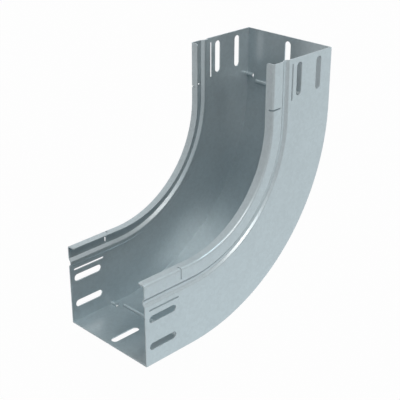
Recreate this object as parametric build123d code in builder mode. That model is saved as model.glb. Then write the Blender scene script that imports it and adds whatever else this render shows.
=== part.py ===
from build123d import *
import os

# Cable tray riser: a 90 degree upward bend of U-section cable tray, in three pressed sheet pieces.
# It lies on its left side plate. The low end faces -X, the high end faces +Y, and the tray's
# width runs along +Z. The origin is on the ground, at the middle of the square footprint.

# Channel
inside_width = 100.0
wall_height = 80.0
sheet = 1.0

# Run of the tray: straight end, quarter-circle bend, straight end
straight_run = 55.0
floor_radius = 180.0

# Lip turned in along the top of each side plate; bend radii are to the middle of the sheet
lip_width = 8.5
lip_bend_radius = 1.5
lip_corner_radius = 2.0

# Bead pressed inwards along each side plate, below the rim: a ramp, a flat and a ledge
bead_low = 59.2
bead_mouth = 8.3
bead_ramp_rise = 1.8
bead_ledge_drop = 3.3
bead_depth = 2.0
bead_bend_radius = 0.9

# Relief slit across the rim and the outer part of the lip
relief_from_end = 42.0
relief_width = 1.6
relief_above_bead = 2.0
relief_in_lip = 4.5

# Bolt slots, the same size in the side plates and in the floor
slot_length = 31.0
slot_width = 7.0
slot_from_end = 20.0
lower_slot_height = 18.0
upper_slot_height = 45.0

# Narrow coupling slit between the upper slot and the bead
coupling_slit_length = 34.5
coupling_slit_width = 1.9
coupling_slit_from_end = 21.75
coupling_slit_below_bead = 5.1

# Half-round bridges lanced up out of the floor, across the run
bridge_radius = 2.5
short_bridge_from_end = 47.0
short_bridge_length = 7.5
long_bridge_from_end = 52.5
bridge_gap = 4.0

# Sizes that follow from those above
outside_width = inside_width + 2 * sheet
overall = straight_run + floor_radius
ground_edge = -overall / 2
bend_start_x = ground_edge + straight_run
bend_centre_y = ground_edge + floor_radius
bead_high = bead_low + bead_mouth
relief_bottom = bead_high + relief_above_bead
coupling_slit_height = bead_low - coupling_slit_below_bead
floor_top = ground_edge + sheet
bridge_hollow = bridge_radius - sheet
long_bridge_start = sheet + short_bridge_length + bridge_gap

# Each bridge: its place from the end, where it starts across the tray, and its length
bridges = [
    (short_bridge_from_end, sheet, short_bridge_length),
    (short_bridge_from_end, outside_width - sheet - short_bridge_length, short_bridge_length),
    (long_bridge_from_end, long_bridge_start, outside_width - 2 * long_bridge_start),
]

bend_axis = Axis((bend_start_x, bend_centre_y, 0), (0, 0, 1))

# The section stands at the start of the bend: local x across the tray, local y up from the floor
section_plane = Plane(origin=(bend_start_x, ground_edge, 0), x_dir=(0, 0, 1), z_dir=(-1, 0, 0))

# The run turns from X to Y. Both ends are alike, so each piece is drawn from its low end to the middle
# of the bend and mirrored
run_in = Vector(1, 0, 0)
run_out = Vector(0, 1, 0)
run_middle = run_in + run_out
half_bend = run_in.get_angle(run_middle)
middle_plane = Plane(origin=(bend_start_x, bend_centre_y, 0), x_dir=(0, 0, 1), z_dir=run_middle)


# Side plate: the flat wall, the bead and the lip are one strip bent to this line
def wall_line():
    """The middle of the side plate's sheet, from its bottom edge to the edge of the lip."""
    wall = sheet / 2
    bead = wall + bead_depth
    lip = wall_height - sheet / 2
    FilletPolyline(
        (wall, 0),
        (wall, bead_low),
        (bead, bead_low + bead_ramp_rise),
        (bead, bead_high - bead_ledge_drop),
        (wall, bead_high),
        (wall, lip),
        (lip_width, lip),
        radius=[bead_bend_radius] * 4 + [lip_bend_radius],
    )


with BuildPart() as side_plate_left:
    with BuildSketch(section_plane) as wall_section:
        with BuildLine():
            wall_line()
        trace(line_width=sheet)
    extrude(amount=straight_run)
    revolve(wall_section.sketch, axis=bend_axis, revolution_arc=half_bend)

    # Rounded front corner of the lip
    lip_edges = side_plate_left.edges().filter_by(Axis.Y).group_by(Axis.Z)[-1]
    fillet(lip_edges.sort_by(Axis.X)[0], radius=lip_corner_radius)

    # Bolt slots
    with BuildSketch(Plane.XY):
        slot_x = ground_edge + slot_from_end
        slot_places = [
            (slot_x, ground_edge + lower_slot_height),
            (slot_x, ground_edge + upper_slot_height),
        ]
        with Locations(*slot_places):
            SlotOverall(slot_length, slot_width)
    extrude(amount=sheet, mode=Mode.SUBTRACT)

    # Coupling slit
    with BuildSketch(Plane.XY):
        with Locations((ground_edge + coupling_slit_from_end, ground_edge + coupling_slit_height)):
            SlotOverall(coupling_slit_length, coupling_slit_width)
    extrude(amount=sheet, mode=Mode.SUBTRACT)

    # Relief slit
    with BuildSketch(Plane.XY):
        with Locations((ground_edge + relief_from_end, ground_edge + relief_bottom)):
            Rectangle(relief_width, wall_height - relief_bottom, align=(Align.CENTER, Align.MIN))
    extrude(amount=relief_in_lip, mode=Mode.SUBTRACT)

    mirror(about=middle_plane)

# The right side plate is the left one's mirror image across the tray
with BuildPart() as side_plate_right:
    mirror(side_plate_left.part, about=Plane.XY.offset(outside_width / 2))

# Floor plate: a flat strip, rolled to the bend
with BuildPart() as floor_plate:
    with BuildSketch(section_plane) as floor_section:
        with Locations((outside_width / 2, 0)):
            Rectangle(inside_width, sheet, align=(Align.CENTER, Align.MIN))
    extrude(amount=straight_run)
    revolve(floor_section.sketch, axis=bend_axis, revolution_arc=half_bend)

    # Bolt slot in the middle of the floor
    with BuildSketch(Plane.XZ.offset(-ground_edge)):
        with Locations((ground_edge + slot_from_end, outside_width / 2)):
            SlotOverall(slot_length, slot_width)
    extrude(amount=-sheet, mode=Mode.SUBTRACT)

    # A short bridge beside each side plate, and a long one between them. The sheet rises in a
    # half round there, open below and at its cut ends.
    for from_end, start, length in bridges:
        middle = ground_edge + from_end
        with BuildSketch(Plane.XY.offset(start)):
            with BuildLine():
                CenterArc((middle, floor_top), bridge_radius, 0, 180)
                Line((middle - bridge_radius, floor_top), (middle + bridge_radius, floor_top))
            make_face()
        extrude(amount=length)
        with BuildSketch(Plane.XY.offset(start)):
            with BuildLine():
                CenterArc((middle, floor_top), bridge_hollow, 0, 180)
                Line((middle - bridge_hollow, floor_top), (middle - bridge_hollow, ground_edge))
                Line((middle - bridge_hollow, ground_edge), (middle + bridge_hollow, ground_edge))
                Line((middle + bridge_hollow, ground_edge), (middle + bridge_hollow, floor_top))
            make_face()
        extrude(amount=length, mode=Mode.SUBTRACT)

    mirror(about=middle_plane)

os.makedirs("parts", exist_ok=True)

side_plate_left.part.label = "side_plate_left"
export_step(side_plate_left.part, "parts/side_plate_left.step")

side_plate_right.part.label = "side_plate_right"
export_step(side_plate_right.part, "parts/side_plate_right.step")

floor_plate.part.label = "floor_plate"
export_step(floor_plate.part, "parts/floor_plate.step")
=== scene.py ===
"""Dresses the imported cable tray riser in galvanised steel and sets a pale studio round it.

The riser lies on its left side plate. Its low end faces -X and its high end faces +Y.
"""
import math

import bpy
from bpy.props import FloatProperty, FloatVectorProperty, PointerProperty
from mathutils import Matrix, Vector


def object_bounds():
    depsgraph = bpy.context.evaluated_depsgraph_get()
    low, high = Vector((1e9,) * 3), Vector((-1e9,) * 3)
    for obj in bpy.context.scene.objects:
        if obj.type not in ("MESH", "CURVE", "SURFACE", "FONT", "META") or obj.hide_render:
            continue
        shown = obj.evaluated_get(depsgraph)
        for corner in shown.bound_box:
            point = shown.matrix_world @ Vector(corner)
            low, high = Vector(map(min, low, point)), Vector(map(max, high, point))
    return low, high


bl_info = {
    "name": "Cable tray riser",
    "version": (1, 0, 0),
    "blender": (4, 5, 0),
    "location": "3D View > Sidebar > Riser",
    "description": "Dresses a cable tray riser in galvanised steel and sets a pale studio round it",
    "category": "Object",
}

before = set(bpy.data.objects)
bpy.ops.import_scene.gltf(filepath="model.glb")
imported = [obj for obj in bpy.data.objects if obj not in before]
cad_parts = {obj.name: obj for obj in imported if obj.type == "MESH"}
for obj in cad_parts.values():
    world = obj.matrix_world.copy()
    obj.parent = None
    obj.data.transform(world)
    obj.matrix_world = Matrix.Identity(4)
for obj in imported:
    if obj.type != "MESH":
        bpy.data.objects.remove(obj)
cad_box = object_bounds()


class RiserFinish(bpy.types.PropertyGroup):
    """The galvanised sheet."""

    zinc_colour: FloatVectorProperty(
        name="Zinc colour", description="Colour of the zinc coat", subtype="COLOR",
        size=3, min=0.0, max=1.0, default=(0.53, 0.605, 0.638))
    cut_colour: FloatVectorProperty(
        name="Cut colour", description="Colour of the sheared ends", subtype="COLOR",
        size=3, min=0.0, max=1.0, default=(0.56, 0.64, 0.68))
    metallic: FloatProperty(
        name="Metallic", description="How metallic the dull zinc looks",
        min=0.0, max=1.0, default=0.42)
    # With its spread it stays above about 0.275: below that the denoiser takes the coat for a
    # mirror, and the plates come out blotchy
    roughness: FloatProperty(
        name="Roughness", description="How dull the zinc coat is", min=0.0, max=1.0, default=0.3)
    crystal: FloatProperty(
        name="Crystal size", description="Width of one zinc crystal", unit="LENGTH",
        min=0.0005, max=0.05, default=0.0028)
    crystal_contrast: FloatProperty(
        name="Crystal contrast", description="How much the crystals differ in shade",
        min=0.0, max=1.0, default=0.07)
    crystal_gloss: FloatProperty(
        name="Crystal gloss", description="How much the crystals differ in roughness",
        min=0.0, max=1.0, default=0.015)
    grain_height: FloatProperty(
        name="Grain height", description="Height of the grain in the crystals", unit="LENGTH",
        min=0.0, max=0.001, precision=5, default=0.00004)
    smear: FloatProperty(
        name="Smear size", description="Width of the cloudy smears", unit="LENGTH",
        min=0.005, max=0.5, default=0.045)
    smear_contrast: FloatProperty(
        name="Smear contrast", description="How much the smears differ in shade",
        min=0.0, max=1.0, default=0.12)
    smear_gloss: FloatProperty(
        name="Smear gloss", description="How much the smears differ in roughness",
        min=0.0, max=1.0, default=0.04)


class RiserStudio(bpy.types.PropertyGroup):
    """Camera, lamps and floor."""

    camera_place: FloatVectorProperty(
        name="Camera place", description="Where the camera stands", subtype="XYZ_LENGTH",
        size=3, default=(-0.55909, 0.35213, 0.60923))
    camera_aim: FloatVectorProperty(
        name="Camera aim", description="Point at the middle of the picture", subtype="XYZ_LENGTH",
        size=3, default=(-0.05918, 0.02382, 0.10856))
    camera_roll: FloatProperty(
        name="Camera roll", description="Turn of the camera about its own axis", unit="ROTATION",
        default=math.radians(-0.083))
    camera_lens: FloatProperty(
        name="Lens", description="Focal length on a 36 mm sensor", unit="CAMERA",
        min=1.0, max=500.0, default=84.63)
    sky: FloatProperty(
        name="Sky", description="Strength of the even light from all round",
        min=0.0, max=1.0, default=0.02)
    warm_colour: FloatVectorProperty(
        name="Warm colour", description="Colour of the warm softboxes", subtype="COLOR",
        size=3, min=0.0, max=2.0, default=(1.09, 1.0, 0.94))
    cool_colour: FloatVectorProperty(
        name="Cool colour", description="Colour of the other softboxes", subtype="COLOR",
        size=3, min=0.0, max=2.0, default=(0.83, 1.0, 1.06))
    floor_width: FloatProperty(
        name="Floor width", description="Side of the square floor", unit="LENGTH",
        min=0.5, max=50.0, default=12.0)
    floor_colour: FloatVectorProperty(
        name="Floor colour", description="Colour of the studio floor", subtype="COLOR",
        size=3, min=0.0, max=1.0, default=(0.85, 0.85, 0.85))
    floor_white: FloatProperty(
        name="Floor white", description="How far the floor turns to white in the picture",
        subtype="FACTOR", min=0.0, max=1.0, default=0.98)


# Softboxes: bearing from +X towards +Y, height above the floor, both in degrees; distance, width
# and depth in metres; power in watts
SOFTBOXES = {
    "key": (103, 39, 4.0, 2.0, 0.8, 33),  # shines into the bend
    "high": (80, 62, 4.0, 0.7, 0.7, 11),  # gives the far bead its highlight
    "high_end": (75, 11, 4.0, 2.2, 1.3, 40),  # low, beyond the high end
    "outer_bend": (306, 30, 4.0, 2.4, 2.4, 10),
    "outer_high_end": (342, 30, 4.0, 2.4, 2.4, 6.4),
    "overhead": (115, 58, 4.0, 0.9, 0.9, 7),
}
WARM_SOFTBOXES = ("key", "high")
# Strength at which the floor and the sky show white
WHITE = 1.0

# Camera: width of the sensor in millimetres, nearest and farthest sight in metres
SENSOR_WIDTH = 36.0
NEAREST, FARTHEST = 0.01, 100.0

# Zinc crystals: octaves that bend their outlines; octaves of the grain in them, how much finer it
# is than a crystal, and its share of the shade; strength of the bump
OUTLINE_DETAIL = 2.0
GRAIN_DETAIL = 3.0
GRAIN_FINENESS = 2.5
GRAIN_SHARE = 0.9
BUMP_STRENGTH = 0.05

# Smears: octaves of the noise, how rough it is, and how far it curls
SMEAR_DETAIL = 4.0
SMEAR_ROUGHNESS = 0.6
SMEAR_CURL = 0.4

# Sheared ends: how far in from the end the brighter colour reaches, in metres
CUT_DEPTH = 0.0001


def new_material(name):
    """An empty node material, its tree and its output node."""
    material = bpy.data.materials.new(name)
    material.use_nodes = True
    tree = material.node_tree
    tree.nodes.clear()
    return material, tree, tree.nodes.new("ShaderNodeOutputMaterial")


def new_group(name, inputs, outputs):
    """An empty shader node group with named value sockets, and its two end nodes."""
    group = bpy.data.node_groups.new(name, "ShaderNodeTree")
    for in_out, sockets in (("INPUT", inputs), ("OUTPUT", outputs)):
        for socket in sockets:
            group.interface.new_socket(socket, in_out=in_out, socket_type="NodeSocketFloat")
    return group, group.nodes.new("NodeGroupInput"), group.nodes.new("NodeGroupOutput")


def math_node(tree, operation, first, second):
    """One sum on two values or sockets; gives its output socket."""
    node = tree.nodes.new("ShaderNodeMath")
    node.operation = operation
    for socket, value in zip(node.inputs, (first, second)):
        if isinstance(value, bpy.types.NodeSocket):
            tree.links.new(value, socket)
        else:
            socket.default_value = value
    return node.outputs[0]


def seen_rays(tree):
    """1 for rays from the camera and for those seen in metal or through glass, 0 for others."""
    rays = tree.nodes.new("ShaderNodeLightPath").outputs
    seen = math_node(tree, "MAXIMUM", rays["Is Camera Ray"], rays["Is Glossy Ray"])
    return math_node(tree, "MAXIMUM", seen, rays["Is Transmission Ray"])


def from_middle(tree, socket):
    """A value between 0 and 1, moved to lie between -0.5 and 0.5."""
    return math_node(tree, "SUBTRACT", socket, 0.5)


def crystals_group():
    """Zinc crystals: cells of one shade each, with grain inside them."""
    group, ins, outs = new_group("Zinc crystals", ["Size"], ["Shade", "Gloss", "Height"])
    nodes, links = group.nodes, group.links
    place = nodes.new("ShaderNodeTexCoord").outputs["Object"]
    scale = math_node(group, "DIVIDE", 1.0, ins.outputs["Size"])
    # Cells, whose place is shifted by up to one crystal so that their outlines bend
    bend = nodes.new("ShaderNodeTexNoise")
    bend.inputs["Detail"].default_value = OUTLINE_DETAIL
    links.new(place, bend.inputs["Vector"])
    links.new(scale, bend.inputs["Scale"])
    shifted = nodes.new("ShaderNodeVectorMath")
    shifted.operation = "MULTIPLY_ADD"
    links.new(bend.outputs["Color"], shifted.inputs[0])
    links.new(ins.outputs["Size"], shifted.inputs[1])
    links.new(place, shifted.inputs[2])
    cells = nodes.new("ShaderNodeTexVoronoi")
    links.new(shifted.outputs[0], cells.inputs["Vector"])
    links.new(scale, cells.inputs["Scale"])
    chance = nodes.new("ShaderNodeSeparateColor")
    links.new(cells.outputs["Color"], chance.inputs["Color"])
    # Grain
    grain = nodes.new("ShaderNodeTexNoise")
    grain.inputs["Detail"].default_value = GRAIN_DETAIL
    links.new(place, grain.inputs["Vector"])
    links.new(math_node(group, "MULTIPLY", scale, GRAIN_FINENESS), grain.inputs["Scale"])
    fine = math_node(group, "MULTIPLY", from_middle(group, grain.outputs["Fac"]), GRAIN_SHARE)
    shade = math_node(group, "ADD", from_middle(group, chance.outputs["Red"]), fine)
    links.new(shade, outs.inputs["Shade"])
    links.new(from_middle(group, chance.outputs["Green"]), outs.inputs["Gloss"])
    links.new(grain.outputs["Fac"], outs.inputs["Height"])
    return group


def smears_group():
    """Cloudy smears left by handling and by the run-off of the zinc bath."""
    group, ins, outs = new_group("Smears", ["Size"], ["Shade"])
    clouds = group.nodes.new("ShaderNodeTexNoise")
    clouds.inputs["Detail"].default_value = SMEAR_DETAIL
    clouds.inputs["Roughness"].default_value = SMEAR_ROUGHNESS
    clouds.inputs["Distortion"].default_value = SMEAR_CURL
    place = group.nodes.new("ShaderNodeTexCoord").outputs["Object"]
    group.links.new(place, clouds.inputs["Vector"])
    group.links.new(math_node(group, "DIVIDE", 1.0, ins.outputs["Size"]), clouds.inputs["Scale"])
    group.links.new(from_middle(group, clouds.outputs["Fac"]), outs.inputs["Shade"])
    return group


def cut_ends_group():
    """A mask that is 1 on the sheared ends, at the lowest X and the highest Y, and 0 elsewhere."""
    group, ins, outs = new_group("Cut ends", ["Low end", "High end"], ["Mask"])
    parts = group.nodes.new("ShaderNodeSeparateXYZ")
    group.links.new(group.nodes.new("ShaderNodeTexCoord").outputs["Object"], parts.inputs[0])
    low = math_node(group, "LESS_THAN", parts.outputs["X"], ins.outputs["Low end"])
    high = math_node(group, "GREATER_THAN", parts.outputs["Y"], ins.outputs["High end"])
    group.links.new(math_node(group, "MAXIMUM", low, high), outs.inputs["Mask"])
    return group


def place_group(tree, group, **values):
    """A group node in a tree, with its inputs set."""
    node = tree.nodes.new("ShaderNodeGroup")
    node.node_tree = group
    for name, value in values.items():
        node.inputs[name.replace("_", " ")].default_value = value
    return node


def zinc_coated_sheet(finish):
    """Galvanised sheet: fine crystals, faint smears, brighter sheared ends."""
    material, tree, output = new_material("zinc_coated_sheet")
    nodes, links = tree.nodes, tree.links
    crystals = place_group(tree, crystals_group(), Size=finish.crystal)
    smears = place_group(tree, smears_group(), Size=finish.smear)
    low_end, high_end = cad_box[0][0], cad_box[1][1]
    ends = place_group(
        tree, cut_ends_group(), Low_end=low_end + CUT_DEPTH, High_end=high_end - CUT_DEPTH)

    shade = math_node(
        tree, "ADD",
        math_node(tree, "MULTIPLY", crystals.outputs["Shade"], finish.crystal_contrast),
        math_node(tree, "MULTIPLY", smears.outputs["Shade"], finish.smear_contrast))
    base = nodes.new("ShaderNodeMix")
    base.data_type = "RGBA"
    links.new(ends.outputs["Mask"], base.inputs["Factor"])
    base.inputs["A"].default_value = (*finish.zinc_colour, 1)
    base.inputs["B"].default_value = (*finish.cut_colour, 1)
    tone = nodes.new("ShaderNodeVectorMath")
    tone.operation = "SCALE"
    links.new(base.outputs["Result"], tone.inputs[0])
    links.new(math_node(tree, "ADD", shade, 1.0), tone.inputs["Scale"])

    dull = math_node(
        tree, "ADD",
        math_node(tree, "MULTIPLY", crystals.outputs["Gloss"], finish.crystal_gloss),
        math_node(tree, "MULTIPLY", smears.outputs["Shade"], finish.smear_gloss))
    bump = nodes.new("ShaderNodeBump")
    bump.inputs["Strength"].default_value = BUMP_STRENGTH
    bump.inputs["Distance"].default_value = finish.grain_height
    links.new(crystals.outputs["Height"], bump.inputs["Height"])

    shader = nodes.new("ShaderNodeBsdfPrincipled")
    shader.inputs["Metallic"].default_value = finish.metallic
    links.new(tone.outputs[0], shader.inputs["Base Color"])
    links.new(math_node(tree, "ADD", dull, finish.roughness), shader.inputs["Roughness"])
    links.new(bump.outputs["Normal"], shader.inputs["Normal"])
    links.new(shader.outputs["BSDF"], output.inputs["Surface"])
    return material


class RISER_OT_plates(bpy.types.Operator):
    """Gives the three plates their galvanised finish"""

    bl_idname = "riser.plates"
    bl_label = "Finish the plates"

    def execute(self, context):
        steel = zinc_coated_sheet(context.scene.riser_finish)
        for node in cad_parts.values():
            node.data.materials.clear()
            node.data.materials.append(steel)
        return {"FINISHED"}


class RISER_OT_stage(bpy.types.Operator):
    """Sets up the floor, the lamps, the sky and the camera"""

    bl_idname = "riser.stage"
    bl_label = "Set up the studio"

    def execute(self, context):
        studio = context.scene.riser_studio
        self.lay_floor(context.scene, studio)
        self.light(context.scene, studio)
        self.place_camera(context.scene, studio)
        context.scene.view_settings.view_transform = "Standard"
        return {"FINISHED"}

    def lay_floor(self, scene, studio):
        """A square floor that shows white, with the riser's shadow faint on it."""
        half = studio.floor_width / 2
        mesh = bpy.data.meshes.new("studio_floor")
        mesh.from_pydata([(-half, -half, 0), (half, -half, 0), (half, half, 0), (-half, half, 0)],
                         [], [(0, 1, 2, 3)])
        floor = bpy.data.objects.new("studio_floor", mesh)
        scene.collection.objects.link(floor)
        material, tree, output = new_material("studio_floor")
        matt = tree.nodes.new("ShaderNodeBsdfDiffuse")
        matt.inputs["Color"].default_value = (*studio.floor_colour, 1)
        white = tree.nodes.new("ShaderNodeEmission")
        white.inputs["Strength"].default_value = WHITE
        mix = tree.nodes.new("ShaderNodeMixShader")
        factor = math_node(tree, "MULTIPLY", seen_rays(tree), studio.floor_white)
        tree.links.new(factor, mix.inputs["Fac"])
        tree.links.new(matt.outputs[0], mix.inputs[1])
        tree.links.new(white.outputs[0], mix.inputs[2])
        tree.links.new(mix.outputs[0], output.inputs["Surface"])
        mesh.materials.append(material)

    def light(self, scene, studio):
        """Softboxes that face the riser, and an even sky that shows white."""
        for name, (bearing, height, distance, width, depth, power) in SOFTBOXES.items():
            lamp = bpy.data.lights.new(name, "AREA")
            lamp.shape = "ELLIPSE"
            lamp.size, lamp.size_y = width, depth
            lamp.energy = power
            lamp.color = studio.warm_colour if name in WARM_SOFTBOXES else studio.cool_colour
            softbox = bpy.data.objects.new(name, lamp)
            scene.collection.objects.link(softbox)
            bearing, height = math.radians(bearing), math.radians(height)
            way = Vector((math.cos(height) * math.cos(bearing),
                          math.cos(height) * math.sin(bearing), math.sin(height)))
            turn = way.to_track_quat("Z", "Y").to_matrix().to_4x4()
            softbox.matrix_world = Matrix.Translation(way * distance) @ turn
        world = bpy.data.worlds.new("studio")
        world.use_nodes = True
        tree = world.node_tree
        sky = tree.nodes["Background"]
        sky.inputs["Color"].default_value = (1, 1, 1, 1)
        extra = math_node(tree, "MULTIPLY", seen_rays(tree), WHITE - studio.sky)
        tree.links.new(math_node(tree, "ADD", extra, studio.sky), sky.inputs["Strength"])
        scene.world = world

    def place_camera(self, scene, studio):
        """The camera looks at its aim with +Y upwards."""
        lens = bpy.data.cameras.new("camera")
        lens.sensor_width = SENSOR_WIDTH
        lens.lens = studio.camera_lens
        lens.clip_start, lens.clip_end = NEAREST, FARTHEST
        camera = bpy.data.objects.new("camera", lens)
        scene.collection.objects.link(camera)
        place = Vector(studio.camera_place)
        back = (place - Vector(studio.camera_aim)).normalized()
        right = Vector((0, 1, 0)).cross(back).normalized()
        up = back.cross(right)
        turn = Matrix((right, up, back)).transposed().to_4x4()
        roll = Matrix.Rotation(studio.camera_roll, 4, "Z")
        camera.matrix_world = Matrix.Translation(place) @ turn @ roll
        scene.camera = camera


class RISER_PT_panel(bpy.types.Panel):
    """Lists the steps that dress the riser"""

    bl_idname = "RISER_PT_panel"
    bl_label = "Cable tray riser"
    bl_space_type = "VIEW_3D"
    bl_region_type = "UI"
    bl_category = "Riser"

    def draw(self, context):
        for step in (RISER_OT_plates, RISER_OT_stage):
            self.layout.operator(step.bl_idname)


CLASSES = (RiserFinish, RiserStudio, RISER_OT_plates, RISER_OT_stage, RISER_PT_panel)


def register():
    for cls in CLASSES:
        bpy.utils.register_class(cls)
    bpy.types.Scene.riser_finish = PointerProperty(type=RiserFinish)
    bpy.types.Scene.riser_studio = PointerProperty(type=RiserStudio)


def unregister():
    del bpy.types.Scene.riser_studio
    del bpy.types.Scene.riser_finish
    for cls in reversed(CLASSES):
        bpy.utils.unregister_class(cls)


def main():
    register()
    bpy.ops.riser.plates()
    bpy.ops.riser.stage()


if __name__ == "__main__":
    main()
